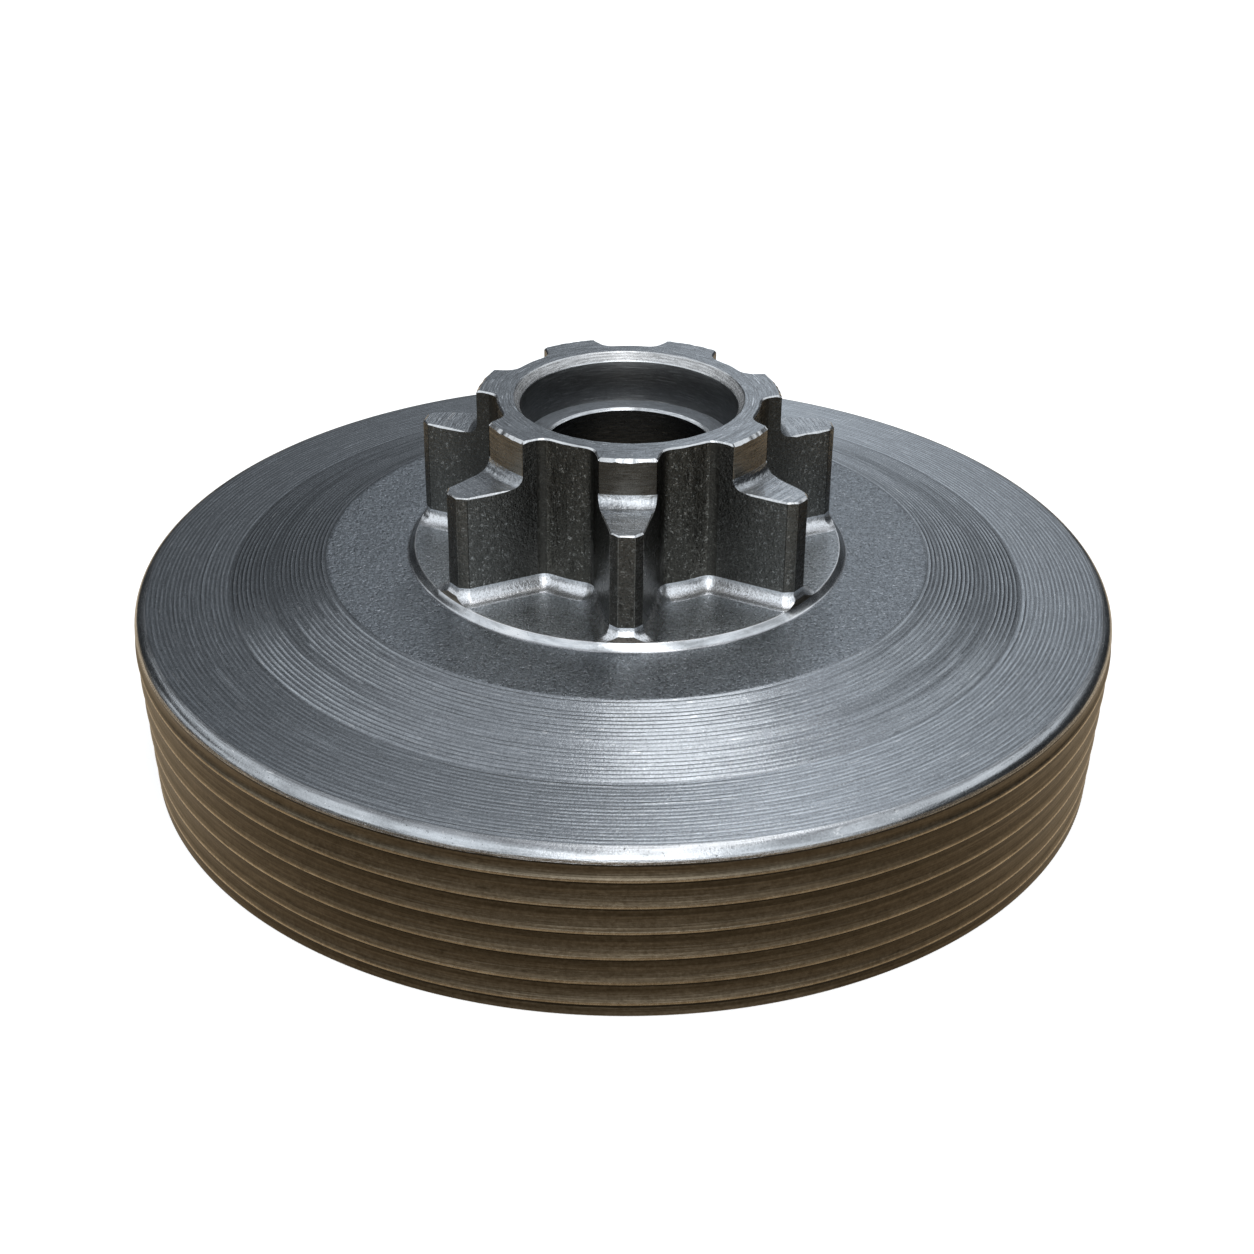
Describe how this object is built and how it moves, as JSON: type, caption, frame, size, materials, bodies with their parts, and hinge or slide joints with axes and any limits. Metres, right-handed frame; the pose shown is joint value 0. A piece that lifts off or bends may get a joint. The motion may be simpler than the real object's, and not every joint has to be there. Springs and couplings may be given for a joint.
{
  "type": "chainsaw clutch drum",
  "caption": "One-piece steel clutch drum: an open cup with turned outer grooves and a domed web, carrying a seven-tooth chain sprocket and a stepped bearing bore.",
  "frame": {"origin": "centre of the drum's open rim, on the plane that the rim stands on", "axes": "+Z along the spindle axis from the open rim to the sprocket; -Y through the middle of one sprocket tooth"},
  "size_m": [0.076, 0.076, 0.0286],
  "materials": {
    "turned_steel": "forged and turned bare steel, fine concentric tool marks, granular between the turned bands"
  },
  "bodies": {
    "root": {"drum_sprocket": "turned_steel"}
  },
  "joints": []
}
